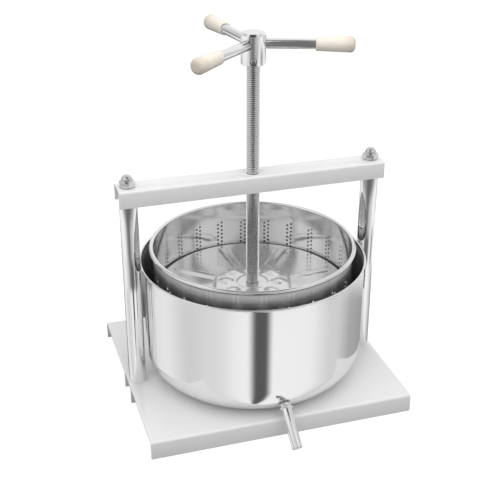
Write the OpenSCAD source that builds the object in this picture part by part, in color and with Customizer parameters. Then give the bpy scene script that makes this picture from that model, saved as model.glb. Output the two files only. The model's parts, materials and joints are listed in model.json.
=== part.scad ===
// Bench fruit press: a screw in a crossbeam pushes a stamped plate into a perforated basket,
// and the juice runs out of the pot below it through a spout.
// X runs along the crossbeam, -Y is the spout side, +Z is up.
// The origin is on the table, in the middle of the footprint, spout included.

/* [Base] */
// Distance of the screw's axis behind the origin
screw_back = 15.4; // [10:0.2:20]
// Distance from a post's axis to the end of the base plate and of the crossbeam
base_side = 14; // [13:0.5:30]
// Distance by which the pot's wall stands out over the front edge of the base plate
base_overhang = 5.4; // [3:0.1:6]
// Distance from the pot's wall to the rear edge of the base plate
base_behind = 14.6; // [10:0.1:30]
// Height of the folded base plate
base_h = 26.5; // [24:0.5:40]
// Sheet thickness of the base plate and of the channel under it
base_sheet = 2; // [1.5:0.5:3]
// Outer radius of the folds in the base plate
base_fold = 3.5; // [3:0.5:6]
// Width of the stiffening channel under the base plate
channel_w = 44; // [42:1:60]
// Distance of the channel's middle behind the posts
channel_back = 5; // [0:0.5:6]

/* [Posts and crossbeam] */
// Space between the pot's wall and a post
post_gap = 2.6; // [2:0.1:10]
// Diameter of a post
post_d = 24; // [20:0.5:26]
// Space between the basket's rim and the crossbeam's flanges
beam_clear = 79.8; // [75:0.2:120]
// Height of the crossbeam's flanges
beam_h = 23; // [22:0.5:30]
// Depth of the crossbeam from front to back
beam_d = 35.5; // [34:0.5:50]
// Sheet thickness of the crossbeam
beam_sheet = 2; // [1.5:0.5:4]
// Outer radius of the folds in the crossbeam
beam_fold = 3; // [2.5:0.5:5]
// Thread diameter of the post studs, the foot bolts and their nuts
stud_d = 12; // [10:1:14]
// Length of the stud above the post's shoulder
stud_len = 12; // [10:0.5:14]
// Width across the flats of the cap nuts and the foot bolts
hex_af = 19; // [17:0.5:22]
// Height of the hexagon of a cap nut
nut_hex_h = 8; // [6:0.5:9]
// Radius of the dome of a cap nut
nut_dome_r = 7.6; // [7:0.1:8]
// Diameter of the washers
washer_d = 21; // [20:0.5:26]
// Thickness of the washers
washer_t = 1.2; // [1:0.1:3]
// Height of the head of a foot bolt
bolt_head_h = 7.5; // [6:0.5:9]
// Length of a foot bolt's shank
bolt_len = 25; // [20:1:60]

/* [Screw and handle] */
// Outer diameter of the lead screw
screw_d = 18; // [16:0.5:20]
// Length of the screw above its shoulder
screw_len = 324.8; // [300:0.2:340]
// Diameter of the nut under the crossbeam
screw_nut_d = 30; // [28:0.5:31]
// Length of the nut under the crossbeam
screw_nut_h = 20; // [15:0.5:21]
// Diameter of the nut's neck, flush in the crossbeam's top face
nut_neck_d = 27; // [24:0.5:28]
// Diameter of the handle hub
hub_d = 32.4; // [28:0.1:36]
// Length of the screw's end inside the hub
hub_grip = 15.4; // [15:0.1:17]
// Length of the hub
hub_h = 39.8; // [38:0.1:45]
// Chamfer on the hub's top edge
hub_chamfer = 2.5; // [1:0.5:4]
// Height of the hub's set screw above its lower face
set_screw_z = 5.8; // [5.5:0.1:10]
// Diameter of the set screw
set_screw_d = 8.4; // [5:0.1:8.6]
// Direction of the set screw
set_screw_turn = -107.5; // [-120:0.5:-90]
// Height of the three arms above the hub's lower face
arm_up = 25.8; // [23:0.1:30]
// Diameter of an arm
arm_d = 13; // [10:0.5:13.5]
// Direction of the first arm
arm_turn = -19.5; // [-30:0.5:0]
// Distance from the screw's axis to the end of a grip
grip_tip = 126.5; // [115:0.5:160]
// Length of a grip
grip_len = 49; // [45:0.5:60]
// Diameter of a grip at its open end
grip_neck_d = 17.2; // [15:0.2:19]
// Largest diameter of a grip
grip_d = 20.2; // [19:0.2:26]
// Wall of the grip beyond the end of its arm
grip_end_wall = 8; // [5:0.5:10]

/* [Pressure plate] */
// Space between the plate's rim and the basket's wall
plate_gap = 2.2; // [1:0.1:6]
// Depth of the plate's flat ring below the basket's rim, as the press stands
plate_drop = 66.3; // [60:0.1:140]
// Sheet thickness of the plate
plate_t = 1.8; // [1.5:0.1:2]
// Depth of the plate's turned-down rim
plate_rim = 7; // [6:0.5:12]
// Radius of the fold at the plate's rim
plate_fold = 2.5; // [2.2:0.1:6]
// Number of stamped ribs
ribs = 8; // [6:1:10]
// Direction of the first rib
rib_turn = 5; // [0:0.5:45]
// Distance from the plate's rim to the outer ends of the ribs
rib_margin = 11.8; // [11:0.1:30]
// Half the width of a rib's crown
rib_r = 7; // [6:0.5:9]
// Height of the ribs above the flat ring
rib_up = 3; // [2:0.5:5]
// Distance across the flats of the raised middle
step_af = 104; // [96:1:120]
// Height of the raised middle above the flat ring
step_up = 5; // [4:0.5:6]
// Radius of the circle on which the domes between the ribs stand
dome_ring = 37; // [36:0.5:40]
// Radius of the foot of a dome
dome_foot = 10.5; // [8:0.5:11]
// Height of a dome above the raised middle
dome_up = 3.5; // [2:0.5:5]
// Diameter of the flat seat for the screw, in the centre of the plate
seat_d = 46; // [36:0.5:50]
// Height of the seat above the flat ring
seat_up = 6.5; // [6.5:0.1:12]

/* [Thrust joint under the screw] */
// Diameter of the screw's pivot
pivot_d = 12; // [10:0.5:14]
// Diameter of the thrust boss welded under the plate
boss_d = 36; // [30:1:44]
// Thickness of the thrust boss
boss_t = 6; // [4:0.5:8]
// Diameter of the retaining washer
retainer_d = 26; // [20:1:34]
// Thickness of the retaining washer
retainer_t = 3; // [2:0.5:4]
// Diameter of the retaining bolt's shank
retainer_bolt_d = 8; // [6:1:8]
// Length of the retaining bolt's shank
retainer_bolt_len = 18; // [12:1:30]
// Width across the flats of the retaining bolt's head
retainer_bolt_af = 13; // [10:0.5:13]
// Height of the retaining bolt's head
retainer_bolt_h = 5.3; // [4:0.1:6]

/* [Pot and spout] */
// Outer radius of the pot's wall
pot_r = 153.4; // [140:0.1:170]
// Height of the pot
pot_h = 171.5; // [160:0.5:190]
// Wall of the pot
pot_wall = 1.2; // [0.8:0.1:2]
// Outer radius of the pot's rounded bottom edge
pot_round = 47; // [40:1:50]
// Radius of the rolled edge of the pot
pot_bead = 1.5; // [1.2:0.1:2]
// Angle of the spout below the horizontal
spout_fall = 35; // [28:1:36]
// Outer diameter of the stub in the pot's wall
stub_d = 11.6; // [10:0.1:12.6]
// Bore of the stub
stub_bore = 9; // [6:0.1:9.5]
// Diameter of the flare where the stub is welded to the pot
stub_flare_d = 16; // [14:0.5:18]
// Distance from the pot's wall to the collar of the spout tube
stub_show = 4; // [3:0.5:6]
// Length of the stub inside the spout tube
stub_len = 22; // [15:1:30]
// Outer diameter of the spout tube
spout_d = 14; // [13.8:0.2:16]
// Bore of the spout tube
spout_bore = 12; // [12:0.1:12.8]
// Length of the spout tube
spout_len = 57; // [50:1:62]
// Radius of the rolled collar at the tube's upper end
spout_collar = 1.5; // [1:0.1:2]

/* [Basket] */
// Space between the walls of the basket and the pot
juice_gap = 16.2; // [9:0.1:20]
// Height of the basket's rim above the pot's rim
basket_rise = 18.75; // [10:0.05:30]
// Wall of the basket
basket_wall = 1; // [0.8:0.1:1.4]
// Outer radius of the basket's rounded bottom edge
basket_round = 20; // [16:1:24]
// Height of the space between the floors of the basket and the pot
basket_lift = 8; // [6:0.5:12]
// Radius of the rolled edge of the basket
basket_bead = 3; // [2:0.2:4]
// Number of feet under the basket
feet = 4; // [3:1:6]
// Distance from the floor's rounded edge to the circle on which the feet stand
foot_inset = 38; // [20:1:60]
// Radius of a foot
foot_r = 9; // [6:0.5:12]

/* [Drain holes in the basket] */
// Number of groups of drain holes around the basket
hole_groups = 24; // [20:1:30]
// Direction of the first group
hole_turn = 3.6; // [0:0.2:72]
// Number of drain holes in a column, two columns to a group
hole_rows = 10; // [4:1:21]
// Diameter of a drain hole
hole_d = 3; // [1.6:0.1:4]
// Distance between the two columns of a group
hole_column_gap = 5.8; // [5:0.1:8]
// Distance between the drain holes of a column
hole_pitch = 6.2; // [5:0.1:10]
// Depth of the uppermost drain holes below the basket's rim
hole_start = 30.2; // [15:0.2:40]

/* [Clearances] */
// Radial clearance of a shaft that turns in a bore
run_gap = 0.05; // [0.02:0.01:0.08]
// Radial clearance around bolts, studs and set screws
bolt_gap = 0.1; // [0.05:0.05:0.3]
// Axial play of the screw's pivot in the plate
end_play = 0.2; // [0.1:0.05:0.4]
// Space between a free-standing piece and its seat
seat_gap = 0.05; // [0:0.05:0.2]

/* [Hidden] */
$fn = 64;
eps = 0.01;
deg_hex = 6;

pot_floor = base_h + seat_gap;
pot_top = pot_floor + pot_h;
pot_corner_x = pot_r - pot_round;
pot_corner_z = pot_floor + pot_round;
spout_collar_at = pot_round + stub_show;
stub_end = spout_collar_at + stub_len;

basket_r = pot_r - pot_wall - juice_gap;
basket_top = pot_top + basket_rise;
basket_floor = pot_floor + pot_wall + basket_lift;
foot_ring = basket_r - basket_round - foot_inset;

plate_r = basket_r - basket_wall - plate_gap;
plate_z = basket_top - plate_drop;
seat_top = plate_z + seat_up;
boss_bottom = seat_top - plate_t - boss_t;
rib_in = step_af / 2;
rib_out = plate_r - rib_margin;
step_r = step_af / 2 / cos(180 / ribs);
dome_r = (pow(dome_foot, 2) + pow(dome_up, 2)) / (2 * dome_up);

base_front = pot_r - base_overhang;
base_back = pot_r + base_behind;
post_x = pot_r + post_gap + post_d / 2;
base_w = 2 * (post_x + base_side);
channel_top = base_h - base_sheet;
channel_under = channel_top - base_sheet;
beam_top = basket_top + beam_clear + beam_h;
beam_under = beam_top - beam_sheet;

pivot_bottom = boss_bottom - end_play;
screw_bottom = seat_top + end_play;
screw_top = screw_bottom + screw_len;
hub_bottom = screw_top - hub_grip;
hub_top = hub_bottom + hub_h;
arm_z = hub_bottom + arm_up;
arm_in = screw_d / 2;
arm_end = grip_tip - grip_end_wall;

// Places what follows on the screw's axis
module at_screw() {
    translate([0, screw_back, 0])
        children();
}

// A hexagonal bar standing on z = 0, given by its width across the flats
module hex_bar(af, h) {
    cylinder(d = af / cos(180 / deg_hex), h = h, $fn = deg_hex);
}

// A plain ring standing on z = 0
module ring(outer_d, inner_d, h) {
    difference() {
        cylinder(d = outer_d, h = h);
        translate([0, 0, -1])
            cylinder(d = inner_d, h = h + 2);
    }
}

// Outline of a folded channel, open below: width w, height h, sheet t and outer fold radius r
module channel_outline(w, h, t, r) {
    difference() {
        union() {
            translate([-w / 2, -h])
                square([w, h - r]);
            translate([-w / 2 + r, -h])
                square([w - 2 * r, h]);
            for (side = [-1, 1])
                translate([side * (w / 2 - r), -r])
                    circle(r = r);
        }
        translate([-w / 2 + t, -h - 1])
            square([w - 2 * t, h - r + 1]);
        translate([-w / 2 + r, -h - 1])
            square([w - 2 * r, h - t + 1]);
        for (side = [-1, 1])
            translate([side * (w / 2 - r), -r])
                circle(r = r - t);
    }
}

// A channel that runs along X, its top face at z = 0
module channel_bar(length, w, h, t, r) {
    rotate([90, 0, 90])
        translate([0, 0, -length / 2])
            linear_extrude(length)
                channel_outline(w, h, t, r);
}

// Holes for the two post bolts through a sheet whose top face is at height z
module post_holes(z, t) {
    for (side = [-1, 1])
        translate([side * post_x, 0, z - t - 1])
            cylinder(d = stud_d + 2 * bolt_gap, h = t + 2);
}

module base_plate() {
    color("gainsboro") at_screw()
        difference() {
            translate([0, (base_back - base_front) / 2, base_h])
                channel_bar(base_w, base_front + base_back, base_h, base_sheet, base_fold);
            post_holes(base_h, base_sheet);
        }
}

module base_channel() {
    color("gainsboro") at_screw()
        difference() {
            translate([0, channel_back, channel_top])
                channel_bar(base_w, channel_w, channel_top, base_sheet, base_fold);
            post_holes(channel_top, base_sheet);
        }
}

// Hexagon bolt from below through the washer, the channel and the base plate into the post
module foot_bolt(side) {
    color("silver") at_screw()
        translate([side * post_x, 0, channel_under - washer_t]) {
            cylinder(d = stud_d, h = bolt_len);
            translate([0, 0, -bolt_head_h])
                hex_bar(hex_af, bolt_head_h);
        }
}

module foot_washer(side) {
    color("silver") at_screw()
        translate([side * post_x, 0, channel_under - washer_t])
            ring(washer_d, stud_d + 2 * bolt_gap, washer_t);
}

// Round post: a tapped hole in its foot and a turned stud above its shoulder
module post(side) {
    foot_depth = bolt_len - washer_t - 2 * base_sheet + 2;
    color("silver") at_screw()
        translate([side * post_x, 0, 0])
            difference() {
                union() {
                    translate([0, 0, base_h])
                        cylinder(d = post_d, h = beam_under - base_h);
                    cylinder(d = stud_d, h = beam_top + washer_t + stud_len);
                }
                translate([0, 0, -1])
                    cylinder(d = post_d, h = base_h + 1);
                translate([0, 0, base_h - 1])
                    cylinder(d = stud_d + 2 * bolt_gap, h = foot_depth + 1);
            }
}

module crossbeam() {
    color("gainsboro") at_screw()
        difference() {
            translate([0, 0, beam_top])
                channel_bar(base_w, beam_d, beam_h, beam_sheet, beam_fold);
            post_holes(beam_top, beam_sheet);
            translate([0, 0, beam_under - 1])
                cylinder(d = nut_neck_d + 2 * bolt_gap, h = beam_sheet + 2);
        }
}

// Round nut under the crossbeam, its neck flush with the beam's top face
module screw_nut() {
    color("gainsboro") at_screw()
        difference() {
            union() {
                translate([0, 0, beam_under - screw_nut_h])
                    cylinder(d = screw_nut_d, h = screw_nut_h);
                translate([0, 0, beam_under - 1])
                    cylinder(d = nut_neck_d, h = beam_sheet + 1);
            }
            translate([0, 0, beam_under - screw_nut_h - 1])
                cylinder(r = screw_d / 2 + run_gap, h = screw_nut_h + beam_sheet + 2);
        }
}

module top_washer(side) {
    color("silver") at_screw()
        translate([side * post_x, 0, beam_top])
            ring(washer_d, stud_d + 2 * bolt_gap, washer_t);
}

// Domed cap nut: a chamfered hexagon with a half sphere on it and a blind bore
module cap_nut(side) {
    hex_r = hex_af / 2 / cos(30);
    color("silver") at_screw()
        translate([side * post_x, 0, beam_top + washer_t])
            difference() {
                union() {
                    intersection() {
                        hex_bar(hex_af, nut_hex_h);
                        rotate_extrude()
                            polygon([[0, 0], [hex_af / 2, 0], [hex_r, 0.8], [hex_r, nut_hex_h - 2],
                                     [nut_dome_r + 1, nut_hex_h], [0, nut_hex_h]]);
                    }
                    translate([0, 0, nut_hex_h])
                        intersection() {
                            sphere(r = nut_dome_r);
                            translate([0, 0, -1])
                                cylinder(r = nut_dome_r + 1, h = nut_dome_r + 2);
                        }
                }
                translate([0, 0, -1])
                    cylinder(d = stud_d + 2 * bolt_gap, h = stud_len + 1.5);
            }
}

// The lead screw, with its pivot below the shoulder and a tapped hole for the retaining bolt
module lead_screw() {
    tip = 1.2;
    color("lightgray") at_screw()
        difference() {
            rotate_extrude()
                polygon([[0, pivot_bottom], [pivot_d / 2, pivot_bottom],
                         [pivot_d / 2, screw_bottom], [screw_d / 2, screw_bottom],
                         [screw_d / 2, screw_top - tip], [screw_d / 2 - tip, screw_top],
                         [0, screw_top]]);
            translate([0, 0, pivot_bottom - 1])
                cylinder(d = retainer_bolt_d + 2 * bolt_gap, h = retainer_bolt_len + 1);
        }
}

module handle_hub() {
    color("silver") at_screw()
        difference() {
            rotate_extrude()
                polygon([[0, hub_bottom], [hub_d / 2 - 0.6, hub_bottom], [hub_d / 2, hub_bottom + 0.6],
                         [hub_d / 2, hub_top - hub_chamfer], [hub_d / 2 - hub_chamfer, hub_top],
                         [0, hub_top]]);
            translate([0, 0, hub_bottom - 1])
                cylinder(r = screw_d / 2 + bolt_gap, h = screw_top - hub_bottom + 1.3);
            for (k = [0:2])
                arm_place(k)
                    translate([0, 0, arm_in - 0.3])
                        cylinder(r = arm_d / 2 + bolt_gap, h = hub_d);
            set_screw_place()
                cylinder(r = set_screw_d / 2 + bolt_gap, h = hub_d);
        }
}

// Local Z points out along arm k, from the screw's axis
module arm_place(k) {
    translate([0, 0, arm_z])
        rotate([0, 90, arm_turn - 120 * k])
            children();
}

module set_screw_place() {
    translate([0, 0, hub_bottom + set_screw_z])
        rotate([0, 90, set_screw_turn])
            children();
}

module hub_set_screw() {
    length = hub_d / 2 - screw_d / 2 - 0.3;
    color("silver") at_screw()
        set_screw_place()
            translate([0, 0, screw_d / 2 + 0.1])
                difference() {
                    cylinder(d = set_screw_d, h = length);
                    translate([0, 0, length / 2])
                        hex_bar(set_screw_d / 2, length);
                }
}

module handle_arm(k) {
    color("silver") at_screw()
        arm_place(k)
            translate([0, 0, arm_in])
                cylinder(d = arm_d, h = arm_end - arm_in);
}

// Grip, wider towards its round end, on the end of an arm
module grip(k) {
    grip_in = grip_tip - grip_len;
    end_r = grip_d / 2;
    corner = 6.5;
    neck_r = grip_neck_d / 2;
    color("antiquewhite") at_screw()
        arm_place(k)
            difference() {
                rotate_extrude()
                    union() {
                        polygon([[0, grip_in], [neck_r - 1, grip_in], [neck_r, grip_in + 1],
                                 [end_r, grip_tip - corner], [0, grip_tip - corner]]);
                        translate([0, grip_tip - corner - eps])
                            square([end_r - corner, corner + eps]);
                        intersection() {
                            translate([end_r - corner, grip_tip - corner])
                                circle(r = corner);
                            translate([0, grip_tip - corner - eps])
                                square([end_r + 1, corner + 1]);
                        }
                    }
                translate([0, 0, grip_in - 1])
                    cylinder(r = arm_d / 2 + run_gap, h = arm_end - grip_in + 1.3);
            }
}

module retaining_washer() {
    color("silver") at_screw()
        translate([0, 0, pivot_bottom - retainer_t])
            ring(retainer_d, retainer_bolt_d + 2 * bolt_gap, retainer_t);
}

module retaining_bolt() {
    color("silver") at_screw()
        translate([0, 0, pivot_bottom - retainer_t]) {
            cylinder(d = retainer_bolt_d, h = retainer_bolt_len);
            translate([0, 0, -retainer_bolt_h])
                hex_bar(retainer_bolt_af, retainer_bolt_h);
        }
}

// Radial rib as a bar with round ends: a revolved profile of radius r, its axis "sink" below
// the plate's top face
module rib_bar(r, sink) {
    half = (rib_out - rib_in + 16) / 2;
    mid = (rib_out + rib_in - 16) / 2;
    for (k = [0:ribs - 1])
        rotate(rib_turn + k * 360 / ribs)
            translate([mid, 0, plate_z - sink])
                rotate([0, 90, 0])
                    rotate_extrude()
                        intersection() {
                            union() {
                                translate([0, -half + r])
                                    square([r, 2 * (half - r)]);
                                for (end = [-1, 1])
                                    translate([0, end * (half - r)])
                                        circle(r = r);
                            }
                            translate([0, -half])
                                square([r, 2 * half]);
                        }
}

// Round domes between the ribs, as caps of spheres that rise above the raised middle
module dome_caps(grow) {
    for (k = [0:ribs - 1])
        rotate(rib_turn + (k + 0.5) * 360 / ribs)
            translate([dome_ring, 0, plate_z + step_up + dome_up - dome_r])
                sphere(r = dome_r + grow);
}

// Solid under one face of the plate; "down" is how far that face lies below the top face
module plate_body(down) {
    rib_axis = rib_r - rib_up;
    floor_z = plate_z - plate_rim - 1;
    rotate_extrude($fn = 96)
        union() {
            translate([0, floor_z])
                square([plate_r - down, plate_z - plate_fold - floor_z]);
            translate([0, floor_z])
                square([plate_r - plate_fold, plate_z - down - floor_z]);
            translate([plate_r - plate_fold, plate_z - plate_fold])
                circle(r = plate_fold - down);
            translate([0, floor_z])
                square([seat_d / 2 - down, seat_top - down - floor_z]);
        }
    intersection() {
        union() {
            rib_bar(rib_r - down, rib_axis);
            dome_caps(-down);
            rotate(rib_turn)
                translate([0, 0, floor_z])
                    cylinder(r = step_r - down, h = plate_z + step_up - down - floor_z, $fn = ribs);
        }
        translate([0, 0, floor_z])
            cylinder(r = plate_r - plate_fold - 1, h = seat_top + 20 - floor_z);
    }
}

// Stamped pressure plate: turned-down rim, ribs, raised middle with domes and the screw's seat
module pressure_plate() {
    color("lightgray") at_screw()
        difference() {
            plate_body(0);
            plate_body(plate_t);
            translate([0, 0, plate_z - plate_rim - 2])
                cylinder(r = plate_r + 1, h = 2);
            cylinder(r = pivot_d / 2 + run_gap, h = screw_bottom + 10);
        }
}

module thrust_boss() {
    color("silver") at_screw()
        translate([0, 0, boss_bottom])
            ring(boss_d, pivot_d + 2 * run_gap, boss_t);
}

// Profile of a drawn pot: outer radius r, floor z0, rim z1, corner radius c and wall t
module drawn_profile(r, z0, z1, c, t) {
    difference() {
        drawn_face(r, z0, z1, c);
        drawn_face(r - t, z0 + t, z1 + 1, c - t);
    }
}

module drawn_face(r, z0, z1, c) {
    translate([0, z0])
        square([r - c, z1 - z0]);
    translate([0, z0 + c])
        square([r, z1 - z0 - c]);
    intersection() {
        translate([r - c, z0 + c])
            circle(r = c);
        translate([0, z0])
            square([r + 1, 2 * c]);
    }
}

// Local Z points out along the spout, from the centre of the pot's rounded edge
module spout_place() {
    translate([0, -pot_corner_x, pot_corner_z])
        rotate([90 + spout_fall, 0, 0])
            children();
}

module pot() {
    color("silver") at_screw()
        difference() {
            rotate_extrude($fn = 128)
                union() {
                    drawn_profile(pot_r, pot_floor, pot_top - pot_bead, pot_round, pot_wall);
                    translate([pot_r - pot_wall + pot_bead, pot_top - pot_bead])
                        circle(r = pot_bead);
                }
            spout_place()
                cylinder(r = stub_d / 2 + run_gap, h = pot_round + 10);
        }
}

// Stub welded in the pot's wall, flared where it meets the wall
module spout_stub() {
    inside = pot_round - pot_wall;
    flare_end = pot_round + stub_show - 1;
    color("silver") at_screw()
        spout_place()
            rotate_extrude()
                polygon([[stub_bore / 2, inside], [stub_d / 2, inside], [stub_d / 2, pot_round + run_gap],
                         [stub_flare_d / 2, pot_round + run_gap], [stub_d / 2, flare_end],
                         [stub_d / 2, stub_end], [stub_bore / 2, stub_end]]);
}

module spout_tube() {
    color("silver") at_screw()
        spout_place()
            rotate_extrude()
                union() {
                    translate([spout_bore / 2, spout_collar_at])
                        square([(spout_d - spout_bore) / 2, spout_len]);
                    translate([spout_bore / 2 + spout_collar, spout_collar_at + spout_collar])
                        circle(r = spout_collar);
                }
}

// The drain holes, in pairs of columns that stand half a pitch apart
module drain_holes() {
    for (g = [0:hole_groups - 1], side = [0, 1], row = [0:hole_rows - 1])
        rotate(hole_turn + g * 360 / hole_groups)
            translate([basket_r - basket_wall - 2, (side - 0.5) * hole_column_gap,
                       basket_top - hole_start - (row + side / 2) * hole_pitch])
                rotate([0, 90, 0])
                    cylinder(d = hole_d, h = basket_wall + 4, $fn = 24);
}

module basket() {
    color("lightgray") at_screw()
        difference() {
            rotate_extrude($fn = 128)
                union() {
                    drawn_profile(basket_r, basket_floor, basket_top - basket_bead,
                                  basket_round, basket_wall);
                    translate([basket_r - basket_wall + basket_bead, basket_top - basket_bead])
                        circle(r = basket_bead);
                }
            drain_holes();
        }
}

// Round feet that hold the basket's floor above the pot's floor
module basket_feet() {
    color("lightgray") at_screw()
        for (k = [0:feet - 1])
            rotate((k + 0.5) * 360 / feet)
                translate([foot_ring, 0, pot_floor + pot_wall + seat_gap])
                    cylinder(r = foot_r, h = basket_lift - seat_gap);
}

base_plate();
base_channel();
foot_bolt(-1);  // foot_bolt_left
foot_bolt(1);  // foot_bolt_right
foot_washer(-1);  // foot_washer_left
foot_washer(1);  // foot_washer_right
post(-1);  // post_left
post(1);  // post_right
crossbeam();
screw_nut();
top_washer(-1);  // washer_left
top_washer(1);  // washer_right
cap_nut(-1);  // cap_nut_left
cap_nut(1);  // cap_nut_right
lead_screw();
handle_hub();
hub_set_screw();
handle_arm(0);  // handle_arm_1
handle_arm(1);  // handle_arm_2
handle_arm(2);  // handle_arm_3
grip(0);  // grip_1
grip(1);  // grip_2
grip(2);  // grip_3
retaining_washer();
retaining_bolt();
pressure_plate();
thrust_boss();
pot();
spout_stub();
spout_tube();
basket();
basket_feet();
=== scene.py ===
import json
import math
from typing import NamedTuple

import bmesh
import bpy
from bpy.props import FloatProperty, FloatVectorProperty, IntProperty, PointerProperty
from mathutils import Matrix, Vector


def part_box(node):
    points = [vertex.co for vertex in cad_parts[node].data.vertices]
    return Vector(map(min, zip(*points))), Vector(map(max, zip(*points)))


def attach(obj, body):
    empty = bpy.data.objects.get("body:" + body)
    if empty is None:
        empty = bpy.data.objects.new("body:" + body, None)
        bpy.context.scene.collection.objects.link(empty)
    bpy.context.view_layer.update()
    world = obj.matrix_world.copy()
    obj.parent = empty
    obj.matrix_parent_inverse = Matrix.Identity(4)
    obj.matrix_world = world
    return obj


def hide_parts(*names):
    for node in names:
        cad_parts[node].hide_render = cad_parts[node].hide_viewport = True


bl_info = {
    "name": "Fruit Press",
    "version": (1, 0, 0),
    "blender": (4, 5, 0),
    "location": "View3D > Sidebar > Fruit Press",
    "description": "Builds a bench fruit press with a threaded screw, stamped plate and perforated basket",
    "category": "Object",
}

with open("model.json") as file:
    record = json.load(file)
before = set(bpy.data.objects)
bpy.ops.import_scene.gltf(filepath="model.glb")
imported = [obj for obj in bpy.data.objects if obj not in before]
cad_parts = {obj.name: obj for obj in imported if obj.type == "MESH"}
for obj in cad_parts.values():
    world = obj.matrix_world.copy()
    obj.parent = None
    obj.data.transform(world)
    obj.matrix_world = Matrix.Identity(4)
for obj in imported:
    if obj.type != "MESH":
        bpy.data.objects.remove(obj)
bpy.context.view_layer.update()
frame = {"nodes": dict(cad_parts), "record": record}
MM = 0.001


def srgb(code):
    """Linear red, green and blue of an sRGB hex code."""
    parts = [int(code[i:i + 2], 16) / 255 for i in (1, 3, 5)]
    return tuple(v / 12.92 if v <= 0.04045 else ((v + 0.055) / 1.055) ** 2.4 for v in parts)


def middle(node):
    """Centre of a CAD node's box."""
    low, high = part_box(node)
    return (low + high) / 2


AXIS = Vector((0, middle("lead_screw").y, 0))
# gap between a stud or a pin and its hole
PLAY = 0.1 * MM
# radius of the lead screw over its thread
SCREW_R = 9 * MM
# outer radius of the pot's rounded bottom edge, and of the bead on its upper edge
POT_ROUND = 47 * MM
POT_BEAD = 1.5 * MM
# radius of the basket's wall, at its outside
BASKET_R = 136 * MM


# The sizes and colours a user would change

def length(name, description, default):
    """A length in metres, given here in millimetres."""
    return FloatProperty(name=name, description=description, default=default * MM, min=0,
                         unit="LENGTH", precision=5)


def angle(name, description, default):
    """An angle in radians, given here in degrees."""
    return FloatProperty(name=name, description=description, default=math.radians(default),
                         unit="ROTATION")


def colour(name, description, code):
    """A colour, given here as an sRGB hex code."""
    return FloatVectorProperty(name=name, description=description, default=srgb(code), min=0, max=1,
                               size=3, subtype="COLOR")


class FruitPressSizes(bpy.types.PropertyGroup):
    """Sizes of the details that the visual model adds"""

    sheet: length("Sheet", "Thickness of the folded steel sheet", 2)
    fold: length("Fold", "Outer radius of the folds", 3.5)
    edge: length("Edge", "Radius of the broken edges on sheet and turned pieces", 0.35)
    stud: length("Stud", "Diameter of the post studs and foot bolts", 12)
    nut_flats: length("Nut flats", "Width of a cap nut across its flats", 19)
    nut_height: length("Nut height", "Height of a cap nut's hexagon", 8)
    pitch: length("Thread pitch", "Rise of the lead screw in one turn", 2.5)
    thread_depth: length("Thread depth", "Depth of the lead screw's thread", 1.53)
    hub_chamfer: length("Hub chamfer", "Chamfer on the hub's upper edge", 2.5)
    set_screw: length("Set screw", "Diameter of the hub's set screw", 8.4)
    set_screw_up: length("Set screw height", "Height of the set screw above the hub's lower face", 5.8)
    reach: length("Reach", "Distance from the screw's axis to the end of a grip", 126.5)
    grip: length("Grip", "Length of a grip", 49)
    grip_neck: length("Grip neck", "Diameter of a grip at its open end", 17.2)
    grip_end: length("Grip end", "Wall of a grip beyond the end of its arm", 8)
    plate_sheet: length("Plate sheet", "Thickness of the stamped plate", 1.8)
    rib_height: length("Rib height", "Height of the plate's ribs above its flat ring", 3)
    rib_half: length("Rib half width", "Half the width of a stamped rib at its foot", 7.5)
    middle_height: length("Middle height", "Height of the plate's raised middle", 5)
    seat_height: length("Seat height", "Height of the screw's seat above the plate's flat ring", 6.5)
    dome_height: length("Dome height", "Height of the domes between the ribs", 3.5)
    pot_wall: length("Pot wall", "Wall of the drawn pot", 1.2)
    basket_wall: length("Basket wall", "Wall of the perforated basket", 1)
    hole: length("Drain hole", "Diameter of a drain hole", 3.4)
    hole_pitch: length("Hole pitch", "Distance between the drain holes of a column", 6.2)
    hole_columns: length("Column gap", "Distance between the two columns of a group", 5.8)
    hole_start: length("First hole", "Depth of the uppermost drain holes below the rim", 30.2)
    first_group: angle("First group", "Direction of the first group of drain holes", 3.6)
    hole_groups: IntProperty(name="Hole groups", description="Pairs of hole columns around the basket",
                             default=24, min=3, max=60)
    hole_rows: IntProperty(name="Hole rows", description="Drain holes in one column",
                           default=21, min=1, max=40)


class FruitPressColours(bpy.types.PropertyGroup):
    """Colours of the finishes"""

    powder: colour("Powder coat", "Folded sheet of the base and the crossbeam", "#F2F2F2")
    chrome: colour("Chrome", "Posts", "#F1F1F2")
    screw: colour("Screw steel", "Rolled thread of the lead screw", "#F0F0F0")
    turned: colour("Turned steel", "Hub and arms of the handle", "#F1F1F1")
    zinc: colour("Bright zinc", "Nuts, washers and bolts", "#DCDDDD")
    stainless: colour("Stainless steel", "Pot and spout", "#EFEFEF")
    basket: colour("Basket steel", "Perforated basket and its feet", "#EAEAEA")
    plate: colour("Plate steel", "Stamped pressure plate", "#DDDDDD")
    ivory: colour("Ivory", "Plastic grips of the handle", "#F7EFE3")
    # painted shade: the warm tone that the grips' round ends are darkened to
    worn: colour("Worn ivory", "Round ends of the grips, yellowed by the hand", "#C5B6A2")
    film: colour("Milky film", "Haze that scatters light on buffed steel", "#F6F6F6")


# Materials

def add(tree, kind, inputs=None, **settings):
    """Adds one node: settings are the node's own, inputs are values or another node's output."""
    node = tree.nodes.new(kind)
    for name, value in settings.items():
        setattr(node, name, value)
    for key, value in (inputs or {}).items():
        if isinstance(value, bpy.types.NodeSocket):
            tree.links.new(value, node.inputs[key])
        else:
            node.inputs[key].default_value = value
    return node


def start_material(name):
    """An empty material, its node tree and the Object coordinates its patterns read."""
    material = bpy.data.materials.new(name)
    material.use_nodes = True
    tree = material.node_tree
    tree.nodes.clear()
    return material, tree, add(tree, "ShaderNodeTexCoord").outputs["Object"]


def shade(rgb, factor):
    """The colour made lighter or darker, with alpha."""
    return tuple(min(channel * factor, 1) for channel in rgb) + (1,)


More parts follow.
